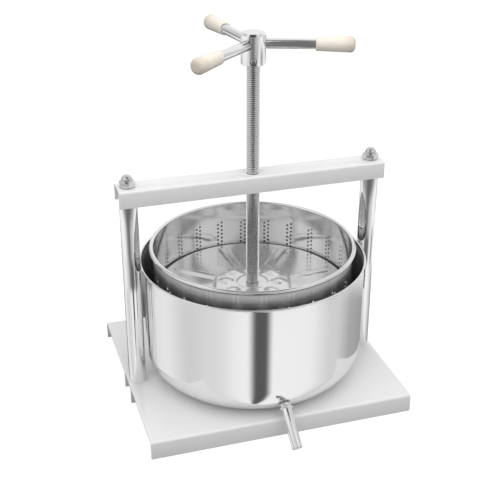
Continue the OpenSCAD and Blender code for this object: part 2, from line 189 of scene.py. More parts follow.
def grey(level):
    """A neutral colour of a linear brightness, with alpha."""
    return (level, level, level, 1)


def radius_and_height(tree, place):
    """Distance of a point from the screw's axis, and its height."""
    moved = add(tree, "ShaderNodeMapping", {"Vector": place, "Location": -AXIS}).outputs[0]
    x_y_z = add(tree, "ShaderNodeSeparateXYZ", {"Vector": moved}).outputs
    across = add(tree, "ShaderNodeCombineXYZ", {"X": x_y_z["X"], "Y": x_y_z["Y"]})
    radius = add(tree, "ShaderNodeVectorMath", {0: across.outputs[0]}, operation="LENGTH")
    return radius.outputs["Value"], x_y_z["Z"]


def powder_coat(rgb):
    """Polyester powder coat, sprayed and stoved on folded steel: the film's faint orange peel
    breaks up the reflections, and it is a shade uneven where it lay thicker."""
    material, tree, place = start_material("powder_coat_pale_grey")
    # patches of about 90 mm, as the gun passed
    film = add(tree, "ShaderNodeTexNoise", {"Vector": place, "Scale": 11, "Detail": 3, "Roughness": 0.55})
    tint = add(tree, "ShaderNodeMix",
               {0: film.outputs["Fac"], 6: shade(rgb, 0.965), 7: shade(rgb, 1.02)}, data_type="RGBA")
    rough = add(tree, "ShaderNodeMapRange", {"Value": film.outputs["Fac"], "To Min": 0.3, "To Max": 0.42})
    # peel of 1.6 mm from crest to crest
    peel = add(tree, "ShaderNodeTexNoise", {"Vector": place, "Scale": 620, "Detail": 1})
    bump = add(tree, "ShaderNodeBump", {"Strength": 0.12, "Distance": 0.0001, "Height": peel.outputs["Fac"]})
    coat = add(tree, "ShaderNodeBsdfPrincipled",
               {"Base Color": tint.outputs[2], "Roughness": rough.outputs[0], "IOR": 1.5,
                "Normal": bump.outputs[0]})
    add(tree, "ShaderNodeOutputMaterial", {"Surface": coat.outputs[0]})
    return material


def plated_bar(rgb):
    """Hard chrome on centreless-ground bar: close to a mirror, with the faintest rings left by
    grinding."""
    material, tree, place = start_material("chrome_on_ground_bar")
    # rings of about 1 mm that run round the bar
    flat = add(tree, "ShaderNodeMapping", {"Vector": place, "Scale": (30, 30, 900)})
    rings = add(tree, "ShaderNodeTexNoise", {"Vector": flat.outputs[0], "Scale": 1, "Detail": 2})
    rough = add(tree, "ShaderNodeMapRange", {"Value": rings.outputs["Fac"], "To Min": 0.04, "To Max": 0.1})
    bump = add(tree, "ShaderNodeBump",
               {"Strength": 0.05, "Distance": 0.00005, "Height": rings.outputs["Fac"]})
    metal = add(tree, "ShaderNodeBsdfPrincipled",
                {"Base Color": shade(rgb, 1), "Metallic": 1, "Roughness": rough.outputs[0],
                 "Normal": bump.outputs[0]})
    add(tree, "ShaderNodeOutputMaterial", {"Surface": metal.outputs[0]})
    return material


def rolled_thread(rgb):
    """Steel with a rolled thread: burnished flanks, and painted shade that darkens the thread towards its
    roots.
    """
    material, tree, place = start_material("rolled_steel_thread")
    radius = radius_and_height(tree, place)[0]
    # the roots lie at 7.5 mm
    depth = add(tree, "ShaderNodeMapRange",
                {"Value": radius, "From Min": 7.4 * MM, "From Max": 8.4 * MM})
    # smears of about 11 mm
    smear = add(tree, "ShaderNodeTexNoise", {"Vector": place, "Scale": 90, "Detail": 3})
    # painted shade: the colour darkens from the crests into the thread's roots
    tint = add(tree, "ShaderNodeMix", {0: depth.outputs[0], 6: shade(rgb, 0.6), 7: shade(rgb, 1)},
               data_type="RGBA")
    rough = add(tree, "ShaderNodeMapRange", {"Value": smear.outputs["Fac"], "To Min": 0.16, "To Max": 0.34})
    metal = add(tree, "ShaderNodeBsdfPrincipled",
                {"Base Color": tint.outputs[2], "Metallic": 1, "Roughness": rough.outputs[0]})
    add(tree, "ShaderNodeOutputMaterial", {"Surface": metal.outputs[0]})
    return material


def turned_steel(name, rgb, low, high, step):
    """Plated steel off the lathe: fine marks, a step apart, spread its highlights a little between
    a low and a high roughness."""
    material, tree, place = start_material(name)
    marks = add(tree, "ShaderNodeTexNoise",
                {"Vector": place, "Scale": 1 / step, "Detail": 2, "Roughness": 0.6})
    rough = add(tree, "ShaderNodeMapRange", {"Value": marks.outputs["Fac"], "To Min": low, "To Max": high})
    bump = add(tree, "ShaderNodeBump",
               {"Strength": 0.06, "Distance": 0.00005, "Height": marks.outputs["Fac"]})
    metal = add(tree, "ShaderNodeBsdfPrincipled",
                {"Base Color": shade(rgb, 1), "Metallic": 1, "Roughness": rough.outputs[0],
                 "Normal": bump.outputs[0]})
    add(tree, "ShaderNodeOutputMaterial", {"Surface": metal.outputs[0]})
    return material


def punch_lines(tree, place, s):
    """Mask of the paler lines down the wall along the columns of holes: a painted reflection of the light
    that comes through them.
    """
    moved = add(tree, "ShaderNodeMapping", {"Vector": place, "Location": -AXIS}).outputs[0]
    x_y_z = add(tree, "ShaderNodeSeparateXYZ", {"Vector": moved}).outputs
    turn = add(tree, "ShaderNodeMath", {0: x_y_z["Y"], 1: x_y_z["X"]}, operation="ARCTAN2")
    # one group of holes becomes 1, with its middle at 0.5
    groups = s.hole_groups / math.tau
    scaled = add(tree, "ShaderNodeMath", {0: turn.outputs[0], 1: groups, 2: 0.5 - s.first_group * groups},
                 operation="MULTIPLY_ADD")
    part = add(tree, "ShaderNodeMath", {0: scaled.outputs[0]}, operation="FRACT")
    off = add(tree, "ShaderNodeMath", {0: part.outputs[0], 1: 0.5}, operation="SUBTRACT")
    away = add(tree, "ShaderNodeMath", {0: off.outputs[0]}, operation="ABSOLUTE")
    column = s.hole_columns / 2 / BASKET_R * groups
    beside = add(tree, "ShaderNodeMath", {0: away.outputs[0], 1: column}, operation="SUBTRACT")
    near = add(tree, "ShaderNodeMath", {0: beside.outputs[0]}, operation="ABSOLUTE")
    # full in the middle of a column's line, and gone well before the next column
    return add(tree, "ShaderNodeMapRange",
               {"Value": near.outputs[0], "From Min": column * 0.15, "From Max": column * 0.7,
                "To Min": 1, "To Max": 0}).outputs[0]


class SatinSide(NamedTuple):
    """The side of a drawn wall that no buffing wheel reaches"""

    # radius at which the wall is still buffed, and from which it is satin
    buffed: float
    satin: float
    # heights between which it is satin
    start: float
    stop: float
    # share of milky film on it, and that share at the top, where the rim was rolled
    haze: float
    rolled: float
    # painted shade deep in the gap between basket and pot: the colour is darkened there, so the drain holes
    # look dark
    pickled: float


def satin_share(tree, radius, height, side):
    """1 on the satin side of a wall and 0 elsewhere."""
    turned_away = add(tree, "ShaderNodeMapRange",
                      {"Value": radius, "From Min": side.buffed, "From Max": side.satin})
    above = add(tree, "ShaderNodeMapRange",
                {"Value": height, "From Min": side.start, "From Max": side.start + 4 * MM})
    below = add(tree, "ShaderNodeMapRange",
                {"Value": height, "From Min": side.stop, "From Max": side.stop - 1 * MM})
    walls = add(tree, "ShaderNodeMath", {0: turned_away.outputs[0], 1: above.outputs[0]},
                operation="MULTIPLY")
    return add(tree, "ShaderNodeMath", {0: walls.outputs[0], 1: below.outputs[0]},
               operation="MULTIPLY").outputs[0]


def drawn_stainless(name, rgb, low, high, wave, haze, side=None, lines=None):
    """Stainless steel, drawn or stamped and then buffed: a mirror whose slow waves, left by the
    press tool, bend what it reflects, under fine buffing marks and a trace of haze. Low and high
    are its roughness, side is its satin side, and lines are the sizes that the painted reflection's
    lines along the hole columns follow."""
    material, tree, place = start_material(name)
    milky = bpy.context.scene.fruit_press_colours.film
    # waves of about 45 mm
    waves = add(tree, "ShaderNodeTexNoise", {"Vector": place, "Scale": 22, "Detail": 1})
    # buffing marks of 0.7 mm that run round the wall
    flat = add(tree, "ShaderNodeMapping", {"Vector": place, "Scale": (60, 60, 1400)})
    marks = add(tree, "ShaderNodeTexNoise", {"Vector": flat.outputs[0], "Scale": 1, "Detail": 2})
    rough = add(tree, "ShaderNodeMapRange",
                {"Value": marks.outputs["Fac"], "To Min": low, "To Max": high}).outputs[0]
    slow = add(tree, "ShaderNodeBump",
               {"Strength": wave, "Distance": 0.001, "Height": waves.outputs["Fac"]})
    fine = add(tree, "ShaderNodeBump", {"Strength": 0.03, "Distance": 0.00005,
                                        "Height": marks.outputs["Fac"], "Normal": slow.outputs[0]})
    veil, tint, milk = haze, shade(rgb, 1), shade(milky, 1)
    if side:
        radius, height = radius_and_height(tree, place)
        satin = satin_share(tree, radius, height, side)
        # the rolling of the rim has dulled the wall under it
        veil = add(tree, "ShaderNodeMapRange",
                   {"Value": height, "From Min": side.stop - 15 * MM, "From Max": side.stop,
                    "To Min": side.haze, "To Max": side.rolled}).outputs[0]
        if lines:
            # painted reflection: a little more milky film along the columns of holes
            veil = add(tree, "ShaderNodeMath", {0: punch_lines(tree, place, lines), 1: 0.1, 2: veil},
                       operation="MULTIPLY_ADD").outputs[0]
        veil = add(tree, "ShaderNodeMix", {0: satin, 2: haze, 3: veil}).outputs[0]
        rough = add(tree, "ShaderNodeMix", {0: satin, 2: rough, 3: 0.26}).outputs[0]
        # painted shade: deep in the gap, the satin side's metal and film colours are darkened
        if side.pickled < 1:
            depth = add(tree, "ShaderNodeMapRange",
                        {"Value": height, "From Min": side.stop - 16 * MM, "From Max": side.stop - 22 * MM})
            deep = add(tree, "ShaderNodeMath", {0: satin, 1: depth.outputs[0]}, operation="MULTIPLY")
            tint, milk = [add(tree, "ShaderNodeMix", {0: deep.outputs[0], 6: shade(clean, 1),
                                                      7: shade(clean, side.pickled)},
                              data_type="RGBA").outputs[2] for clean in (rgb, milky)]
    metal = add(tree, "ShaderNodeBsdfPrincipled",
                {"Base Color": tint, "Metallic": 1, "Roughness": rough, "Normal": fine.outputs[0]})
    film = add(tree, "ShaderNodeBsdfDiffuse", {"Color": milk})
    both = add(tree, "ShaderNodeMixShader", {0: veil, 1: metal.outputs[0], 2: film.outputs[0]})
    add(tree, "ShaderNodeOutputMaterial", {"Surface": both.outputs[0]})
    return material


# yellowed is the painted shade colour of the grips' round ends
def moulded_ivory(rgb, yellowed):
    """Injection-moulded polypropylene in ivory: satin from the tool, slightly waxy, and a trace
    yellower here and there from handling. Painted shade darkens its round ends to a warm tone."""
    material, tree, place = start_material("polypropylene_ivory")
    # patches of about 36 mm
    handled = add(tree, "ShaderNodeTexNoise", {"Vector": place, "Scale": 28, "Detail": 3})
    tint = add(tree, "ShaderNodeMix",
               {0: handled.outputs["Fac"], 6: shade(rgb, 0.95), 7: shade(rgb, 1.03)}, data_type="RGBA")
    # painted shade: the round ends darken towards a warm tone
    worn = add(tree, "ShaderNodeMapRange",
               {"Value": radius_and_height(tree, place)[0], "From Min": 108 * MM, "From Max": 127 * MM,
                "To Max": 0.55})
    tint = add(tree, "ShaderNodeMix", {0: worn.outputs[0], 6: tint.outputs[2], 7: shade(yellowed, 1)},
               data_type="RGBA")
    # grain of 0.7 mm from the tool
    grain = add(tree, "ShaderNodeTexNoise", {"Vector": place, "Scale": 1400, "Detail": 1})
    bump = add(tree, "ShaderNodeBump",
               {"Strength": 0.08, "Distance": 0.00005, "Height": grain.outputs["Fac"]})
    plastic = add(tree, "ShaderNodeBsdfPrincipled",
                  {"Base Color": tint.outputs[2], "Roughness": 0.36, "IOR": 1.49, "Subsurface Weight": 0.12,
                   "Subsurface Scale": 0.003, "Subsurface Radius": (1, 0.6, 0.35), "Normal": bump.outputs[0]})
    add(tree, "ShaderNodeOutputMaterial", {"Surface": plastic.outputs[0]})
    return material


def finish(slot):
    """The material of one of the record's slots, made on first use."""
    made = bpy.data.materials.get("press_" + slot)
    if made:
        return made
    c = bpy.context.scene.fruit_press_colours
    makers = {
        "powder_coat": lambda: powder_coat(c.powder),
        "polished_post": lambda: plated_bar(c.chrome),
        "screw_steel": lambda: rolled_thread(c.screw),
        "bright_steel": lambda: turned_steel("turned_plated_steel", c.turned, 0.1, 0.2, 0.0009),
        "fastener_steel": lambda: turned_steel("bright_zinc_on_steel", c.zinc, 0.16, 0.3, 0.0014),
        "pot_steel": lambda: drawn_stainless(
            "buffed_stainless_pot", c.stainless, 0.05, 0.11, 0.02, 0.02,
            SatinSide(buffed=152.9 * MM, satin=152.7 * MM, start=76 * MM, stop=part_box("pot")[1].z - 3 * MM,
                      haze=0.07, rolled=0.4, pickled=1)),
        "basket_steel": lambda: drawn_stainless(
            "buffed_stainless_basket", c.basket, 0.07, 0.15, 0.05, 0.06,
            SatinSide(buffed=135.4 * MM, satin=135.6 * MM, start=30 * MM,
                      stop=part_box("basket")[1].z - 6 * MM, haze=0.1, rolled=1, pickled=0.6),
            bpy.context.scene.fruit_press_sizes),
        "plate_steel": lambda: drawn_stainless("buffed_stainless_plate", c.plate, 0.06, 0.14, 0.05, 0.16),
        "ivory_plastic": lambda: moulded_ivory(c.ivory, c.worn),
    }
    made = makers[slot]()
    made.name = "press_" + slot
    return made


# Shaping

def turned(points, steps=96, closed=False):
    """A shape turned about Z. Each point is (radius, height) or (radius, height, corner radius);
    an open outline starts and ends on the axis."""
    bm = bmesh.new()
    verts = [bm.verts.new((p[0], 0, p[1])) for p in points]
    for a, b in zip(verts, verts[1:] + verts[:1] if closed else verts[1:]):
        bm.edges.new((a, b))
    for vert, p in zip(verts, points):
        if len(p) > 2:
            a, b = [edge.other_vert(vert).co - vert.co for edge in vert.link_edges]
            reach = p[2] / math.tan(a.angle(b) / 2)
            # more steps in a larger corner
            segments = max(2, min(20, round(math.sqrt(p[2] / MM) * 3)))
            bmesh.ops.bevel(bm, geom=[vert], offset=reach, offset_type="OFFSET", affect="VERTICES",
                            segments=segments, profile=0.5, material=-1)
    bmesh.ops.spin(bm, geom=bm.verts[:] + bm.edges[:], cent=(0, 0, 0), axis=(0, 0, 1), angle=math.tau,
                   steps=steps, use_merge=True)
    bmesh.ops.remove_doubles(bm, verts=bm.verts[:], dist=1e-6)
    bmesh.ops.recalc_face_normals(bm, faces=bm.faces[:])
    return bm


def prism(sides, radius, low, high):
    """A bar of so many flat sides between two heights."""
    bm = bmesh.new()
    bmesh.ops.create_cone(bm, cap_ends=True, segments=sides, radius1=radius, radius2=radius, depth=high - low)
    bmesh.ops.translate(bm, verts=bm.verts[:], vec=(0, 0, (low + high) / 2))
    return bm


def placed(bm, matrix):
    """The bmesh, moved to its place."""
    bmesh.ops.transform(bm, matrix=matrix, verts=bm.verts[:])
    return bm


def upright(x=0.0, y=AXIS.y):
    """Place of a shape that stands at x and y."""
    return Matrix.Translation((x, y, 0))


def radial(angle, height):
    """Place of a shape whose own Z points out from the screw's axis, at an angle and a height."""
    return (Matrix.Translation(AXIS + Vector((0, 0, height))) @ Matrix.Rotation(angle, 4, "Z")
            @ Matrix.Rotation(math.pi / 2, 4, "Y"))


def folded(node, fold):
    """A sheet folded down along its two long sides, as a surface, in the box of a CAD node."""
    low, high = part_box(node)
    size = high - low
    bm = bmesh.new()
    bmesh.ops.create_cube(bm, size=1)
    placed(bm, Matrix.Translation((low + high) / 2) @ Matrix.Diagonal((*size, 1)))
    bmesh.ops.delete(bm, geom=[f for f in bm.faces if f.normal.z < -0.5 or abs(f.normal.x) > 0.5],
                     context="FACES")
    bends = [e for e in bm.edges if len(e.link_faces) == 2]
    bmesh.ops.bevel(bm, geom=bends, offset=fold, offset_type="OFFSET", affect="EDGES", segments=8,
                    profile=0.5, material=-1)
    return bm


def tool(bm):
    """A cutting shape as an object, for a Boolean."""
    mesh = bpy.data.meshes.new("tool")
    bm.to_mesh(mesh)
    bm.free()
    shape = bpy.data.objects.new("tool", mesh)
    bpy.context.scene.collection.objects.link(shape)
    return shape


def piece(bm, name, body, stands_for, slot, wall=0.0, tools=(), edge=0.0, sharp=35.0):
    """Finishes a bmesh as a piece of the press: the wall, the cuts, the broken edges, the smooth
    shading, the material and the body it rides on. Each tool is (operation, bmesh)."""
    mesh = bpy.data.meshes.new(name)
    bm.to_mesh(mesh)
    bm.free()
    made = bpy.data.objects.new(name, mesh)
    bpy.context.scene.collection.objects.link(made)
    if wall:
        made.modifiers.new("wall", "SOLIDIFY").thickness = wall
        made.modifiers["wall"].offset = -1
        made.modifiers["wall"].use_even_offset = True
    cutters = [(operation, tool(shape)) for operation, shape in tools]
    for operation, shape in cutters:
        cut = made.modifiers.new("cut", "BOOLEAN")
        cut.operation, cut.object, cut.solver = operation, shape, "EXACT"
    if edge:
        bevel = made.modifiers.new("edge", "BEVEL")
        bevel.width, bevel.segments = edge, 2
        bevel.limit_method, bevel.angle_limit = "ANGLE", math.radians(40)
        bevel.use_clamp_overlap = True
    if made.modifiers:
        made.data = bpy.data.meshes.new_from_object(made.evaluated_get(bpy.context.evaluated_depsgraph_get()))
        made.modifiers.clear()
        bpy.data.meshes.remove(mesh)
    for _, shape in cutters:
        bpy.data.meshes.remove(shape.data)
    made.data.name = name
    made.data.materials.clear()
    made.data.materials.append(finish(slot))
    made.data.shade_smooth()
    made.data.set_sharp_from_angle(angle=math.radians(sharp))
    if not made.data.polygons:
        raise RuntimeError(f"{name} came out empty")
    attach(made, body)
    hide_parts(*stands_for)
    return made


# The frame of the press

SIDES = ("left", "right")


class FRUITPRESS_OT_base(bpy.types.Operator):
    """Folded base plate and the channel welded under it"""

    bl_idname = "fruit_press.base"
    bl_label = "Base"

    def execute(self, context):
        s = context.scene.fruit_press_sizes
        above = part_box("base_plate")[1].z + 10 * MM
        for node in ("base_plate", "base_channel"):
            holes = [("DIFFERENCE", placed(prism(48, s.stud / 2 + PLAY, 0, above),
                                           upright(middle("post_" + side).x))) for side in SIDES]
            piece(folded(node, s.fold), node + "_folded", "frame", [node], "powder_coat",
                  wall=s.sheet, tools=holes, edge=s.edge)
        return {"FINISHED"}


class FRUITPRESS_OT_posts(bpy.types.Operator):
    """Chromed posts with a turned stud above the shoulder and a tapped foot"""

    bl_idname = "fruit_press.posts"
    bl_label = "Posts"

    def execute(self, context):
        s = context.scene.fruit_press_sizes
        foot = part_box("base_plate")[1].z
        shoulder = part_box("crossbeam")[1].z - s.sheet
        stud, bore, bore_end = s.stud / 2, s.stud / 2 + PLAY, foot + 21.8 * MM
        for side in SIDES:
            low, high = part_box("post_" + side)
            r = (high.x - low.x) / 2
            outline = [(0, high.z), (stud, high.z, 0.9 * MM), (stud, shoulder), (r, shoulder, 0.5 * MM),
                       (r, foot, 0.4 * MM), (bore, foot), (bore, bore_end), (0, bore_end)]
            piece(placed(turned(outline), upright((low.x + high.x) / 2)), f"post_{side}_bar", "frame",
                  ["post_" + side], "polished_post")
        return {"FINISHED"}


class FRUITPRESS_OT_crossbeam(bpy.types.Operator):
    """Folded crossbeam with its round screw nut"""

    bl_idname = "fruit_press.crossbeam"
    bl_label = "Crossbeam"

    def execute(self, context):
        s = context.scene.fruit_press_sizes
        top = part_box("crossbeam")[1].z
        under, over = top - 10 * MM, top + 10 * MM
        low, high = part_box("screw_nut")
        bore = SCREW_R + 0.05 * MM
        neck = 13.5 * MM
        holes = [("DIFFERENCE", placed(prism(48, s.stud / 2 + PLAY, under, over),
                                       upright(middle("post_" + side).x))) for side in SIDES]
        holes.append(("DIFFERENCE", placed(prism(96, neck + PLAY, under, over), upright())))
        piece(folded("crossbeam", s.fold - 0.5 * MM), "crossbeam_folded", "frame", ["crossbeam"],
              "powder_coat", wall=s.sheet, tools=holes, edge=s.edge)
        r = (high.x - low.x) / 2
        outline = [(bore, low.z, 0.8 * MM), (r, low.z, 1 * MM), (r, top - s.sheet), (neck, top - s.sheet),
                   (neck, high.z, 0.35 * MM), (bore, high.z, 0.5 * MM)]
        piece(placed(turned(outline, closed=True), upright()), "screw_nut_turned", "frame", ["screw_nut"],
              "powder_coat")
        return {"FINISHED"}


class FRUITPRESS_OT_nuts(bpy.types.Operator):
    """Washers and domed cap nuts on the post studs"""

    bl_idname = "fruit_press.nuts"
    bl_label = "Cap nuts"

    def execute(self, context):
        s = context.scene.fruit_press_sizes
        bore = s.stud / 2 + PLAY
        flat = s.nut_flats / 2
        corner = flat / math.cos(math.pi / 6)
        for side in SIDES:
            at = upright(middle("post_" + side).x)
            low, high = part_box("washer_" + side)
            r = (high.x - low.x) / 2
            ring = [(bore, low.z, 0.2 * MM), (r, low.z, 0.3 * MM), (r, high.z, 0.3 * MM),
                    (bore, high.z, 0.2 * MM)]
            piece(placed(turned(ring, closed=True), at), f"washer_{side}_ring", "frame", ["washer_" + side],
                  "fastener_steel")
            low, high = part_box("cap_nut_" + side)
            shoulder = low.z + s.nut_height
            dome = high.z - shoulder
            chamfers = [(0, low.z), (flat, low.z), (corner, low.z + 1 * MM), (corner, shoulder - 2.2 * MM),
                        (dome + 0.6 * MM, shoulder), (0, shoulder)]
            crown = [(0, shoulder - 1 * MM), (dome, shoulder - 1 * MM)]
            crown += [(dome * math.cos(a), shoulder + dome * math.sin(a))
                      for a in [math.pi / 2 * i / 12 for i in range(12)]] + [(0, high.z)]
            blind = prism(48, bore, low.z - 1 * MM, low.z + 12.5 * MM)
            piece(placed(prism(6, corner, low.z, shoulder), at), f"cap_nut_{side}_domed", "frame",
                  ["cap_nut_" + side], "fastener_steel",
                  tools=[("INTERSECT", placed(turned(chamfers), at)), ("UNION", placed(turned(crown), at)),
                         ("DIFFERENCE", placed(blind, at))], edge=0.25 * MM)
        return {"FINISHED"}


# The screw and its handle

def threaded(low, high, crest, depth, pitch):
    """A rod with a right-hand thread between two heights, chamfered at both ends."""
    per_turn = 32
    bm = bmesh.new()
    root = crest - depth
    start = low - pitch
    # root, flank, crest and flank, each point's height as a part of the pitch
    outline = [(root, 0), (root, 0.25), (crest, 0.5625), (crest, 0.6875), (root, 1)]
    verts = [bm.verts.new((r, 0, start + part * pitch)) for r, part in outline]
    edges = [bm.edges.new(pair) for pair in zip(verts, verts[1:])]
    turns = math.ceil((high - low) / pitch) + 2
    bmesh.ops.spin(bm, geom=verts + edges, cent=(0, 0, 0), axis=(0, 0, 1), angle=math.tau * turns,
                   steps=per_turn * turns, dvec=(0, 0, pitch / per_turn))
    bmesh.ops.remove_doubles(bm, verts=bm.verts[:], dist=1e-6)
    for z, up in ((low, False), (high, True)):
        bmesh.ops.bisect_plane(bm, geom=bm.verts[:] + bm.edges[:] + bm.faces[:], dist=1e-7,
                               plane_co=(0, 0, z), plane_no=(0, 0, 1), clear_outer=up, clear_inner=not up)
    bmesh.ops.holes_fill(bm, edges=[e for e in bm.edges if e.is_boundary], sides=0)
    # the chamfers rise at 45 degrees from the root
    for vert in bm.verts:
        limit = root + min(vert.co.z - low, high - vert.co.z) + 0.1 * MM
        r = vert.co.xy.length
        if r > limit:
            vert.co.xy *= limit / r
    bmesh.ops.recalc_face_normals(bm, faces=bm.faces[:])
    return bm


class FRUITPRESS_OT_screw(bpy.types.Operator):
    """Lead screw with its rolled thread and the pivot under it"""

    bl_idname = "fruit_press.screw"
    bl_label = "Lead screw"

    def execute(self, context):
        s = context.scene.fruit_press_sizes
        low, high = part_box("lead_screw")
        plate_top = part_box("pressure_plate")[1].z
        seat = plate_top - s.dome_height - s.middle_height + s.seat_height + 0.2 * MM
        rod = threaded(seat, high.z, (high.x - low.x) / 2, s.thread_depth, s.pitch)
        pivot_r, inside = 6 * MM, seat + 1 * MM
        pivot = turned([(0, low.z), (pivot_r, low.z, 0.5 * MM), (pivot_r, inside), (0, inside)], 48)
        piece(placed(rod, upright()), "lead_screw_threaded", "screw", ["lead_screw"], "screw_steel",
              tools=[("UNION", placed(pivot, upright()))])
        return {"FINISHED"}


class FRUITPRESS_OT_handle(bpy.types.Operator):
    """Hub, its set screw, the three arms and their moulded grips"""

    bl_idname = "fruit_press.handle"
    bl_label = "Handle"

    def execute(self, context):
        s = context.scene.fruit_press_sizes
        low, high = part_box("handle_hub")
        r = (high.x - low.x) / 2
        past = r + 10 * MM
        low_arm, high_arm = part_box("handle_arm_1")
        arm_r = (high_arm.z - low_arm.z) / 2
        arm_z = (high_arm.z + low_arm.z) / 2
        angles = []
        for k in (1, 2, 3):
            out = middle(f"grip_{k}") - AXIS
            angles.append(math.atan2(out.y, out.x))
        # the set screw faces the front, a little to the left
        set_angle = math.radians(-107.5)
        set_z = low.z + s.set_screw_up
        set_r = s.set_screw / 2
        screw_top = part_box("lead_screw")[1].z
        tools = [("DIFFERENCE", placed(shape, at)) for shape, at in (
            (prism(64, SCREW_R + PLAY, low.z - 10 * MM, screw_top + 0.3 * MM), upright()),
            *((prism(48, arm_r + 0.12 * MM, SCREW_R - 0.2 * MM, past), radial(a, arm_z)) for a in angles),
            (prism(48, set_r + 0.2 * MM, SCREW_R, past), radial(set_angle, set_z)))]
        c = s.hub_chamfer
        outline = [(0, low.z), (r, low.z, 0.7 * MM), (r, high.z - c), (r - c, high.z), (0, high.z)]
        piece(placed(turned(outline), upright()), "handle_hub_turned", "screw", ["handle_hub"],
              "bright_steel", tools=tools, edge=0.25 * MM, sharp=25)
        socket = placed(prism(6, set_r / 2 / math.cos(math.pi / 6), r - 3.3 * MM, past),
                        radial(set_angle, set_z))
        face = r - 0.3 * MM
        plug = turned([(0, SCREW_R + PLAY), (set_r, SCREW_R + PLAY, 0.6 * MM),
                       (set_r, face - 1.3 * MM, 0.5 * MM), (set_r * 0.6, face), (0, face)], 48)
        piece(placed(plug, radial(set_angle, set_z)), "set_screw_socketed", "screw", ["hub_set_screw"],
              "fastener_steel", tools=[("DIFFERENCE", socket)])
        tip = s.reach
        inner = tip - s.grip
        arm_end = tip - s.grip_end
        neck, swell, bore, round_end = s.grip_neck / 2, 10.1 * MM, arm_r + 0.05 * MM, 6.5 * MM
        for k, a in enumerate(angles, 1):
            rod = [(0, SCREW_R), (arm_r, SCREW_R, 0.4 * MM), (arm_r, arm_end, 0.6 * MM), (0, arm_end)]
            piece(placed(turned(rod, 64), radial(a, arm_z)), f"arm_{k}_rod", "screw", [f"handle_arm_{k}"],
                  "bright_steel")
            shell = [(0, tip), (swell - 0.02 * MM, tip, round_end), (swell, tip - round_end),
                     (neck, inner, 0.8 * MM), (bore, inner, 0.4 * MM), (bore, arm_end + 0.3 * MM),
                     (0, arm_end + 0.3 * MM)]
            piece(placed(turned(shell, 72), radial(a, arm_z)), f"grip_{k}_moulded", "screw", [f"grip_{k}"],
                  "ivory_plastic")
        return {"FINISHED"}


# The pressure plate

def eased(x):
    """Smooth step from 0 to 1."""
    x = min(max(x, 0), 1)
    return x * x * (3 - 2 * x)


def blended(a, b, over):
    """The larger of two heights, with a fillet where they meet."""
    near = max(over - abs(a - b), 0) / over
    return max(a, b) + near * near * over / 4


class FRUITPRESS_OT_plate(bpy.types.Operator):
    """Stamped pressure plate: ribs, eight-sided raised middle, domes, seat and turned-down rim"""

    bl_idname = "fruit_press.plate"
    bl_label = "Pressure plate"

    # ribs, the turn of the first one, their ends' distances from the axis and their flanks' width
    ribs = 8
    rib_turn = math.radians(5)
    rib_from = 51 * MM
    rib_to = 114 * MM
    flank = 3.5 * MM
    # half the raised middle's width, the domes' distance from the axis and radius, the seat's radius
    across = 52 * MM
    dome_ring = 37 * MM
    dome_foot = 11.5 * MM
    seat = 23 * MM

    def relief(self, s, r, theta):
        """Height of the stamping above the flat ring."""
        sector = math.tau / self.ribs
        off = (theta - self.rib_turn + sector / 2) % sector - sector / 2
        along, aside = r * math.cos(off), abs(r * math.sin(off))
        past = max(self.rib_from - along, along - self.rib_to, 0)
        rib = s.rib_height * eased((s.rib_half - math.hypot(past, aside)) / self.flank)
        flat = r * math.cos(sector / 2 - abs(off))
        raised = s.middle_height * eased(0.5 - (flat - self.across) / (5 * MM))
        toward = math.hypot(r * math.cos(sector / 2 - abs(off)) - self.dome_ring,
                            r * math.sin(sector / 2 - abs(off)))
        dome = s.dome_height * eased(1.1 - toward / self.dome_foot)
        seat = s.seat_height * eased((self.seat + 2 * MM - r) / (5 * MM))
        return blended(blended(rib, raised + dome, 1.5 * MM), seat, 1 * MM)

    def execute(self, context):
        s = context.scene.fruit_press_sizes
        low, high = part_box("pressure_plate")
        radius = (high.x - low.x) / 2
        ring = high.z - s.middle_height - s.dome_height
        bend = 2.5 * MM
        hole = 6.05 * MM
        flat_end = radius - bend
        # steps out to the rim, and across one sector
        count, steps = 92, 40
        bm = bmesh.new()
        verts = [bm.verts.new((hole + (flat_end - hole) * i / count, 0, ring)) for i in range(count + 1)]
        verts += [bm.verts.new((flat_end + bend * math.sin(a), 0, ring - bend + bend * math.cos(a)))
                  for a in [math.pi / 2 * i / 6 for i in range(1, 7)]]
        verts.append(bm.verts.new((radius, 0, low.z)))
        edges = [bm.edges.new(pair) for pair in zip(verts, verts[1:])]
        sector = math.tau / self.ribs
        bmesh.ops.rotate(bm, verts=verts, cent=(0, 0, 0),
                         matrix=Matrix.Rotation(self.rib_turn - sector / 2, 3, "Z"))
        bmesh.ops.spin(bm, geom=verts + edges, cent=(0, 0, 0), axis=(0, 0, 1), angle=sector, steps=steps)
        # the steps crowd towards the rib in the middle of the sector
        for vert in bm.verts:
            theta = math.atan2(vert.co.y, vert.co.x) - self.rib_turn
            part = theta / (sector / 2)
            if abs(part) < 0.999:
                closer = math.copysign(abs(part) ** 1.35, part) * sector / 2
                vert.co.rotate(Matrix.Rotation(closer - theta, 3, "Z"))
        bmesh.ops.spin(bm, geom=bm.verts[:] + bm.edges[:] + bm.faces[:], cent=(0, 0, 0), axis=(0, 0, 1),
                       angle=sector * (self.ribs - 1), steps=self.ribs - 1, use_duplicate=True)
        bmesh.ops.remove_doubles(bm, verts=bm.verts[:], dist=1e-5)
        for vert in bm.verts:
            r = vert.co.xy.length
            if r <= flat_end + 1e-6:
                vert.co.z += self.relief(s, r, math.atan2(vert.co.y, vert.co.x))
        bmesh.ops.recalc_face_normals(bm, faces=bm.faces[:])
        if sum(f.normal.z for f in bm.faces) < 0:
            bmesh.ops.reverse_faces(bm, faces=bm.faces[:])
        piece(placed(bm, upright()), "pressure_plate_stamped", "press_plate", ["pressure_plate"],
              "plate_steel", wall=s.plate_sheet, sharp=45)
        return {"FINISHED"}


# The pot, its spout and the basket

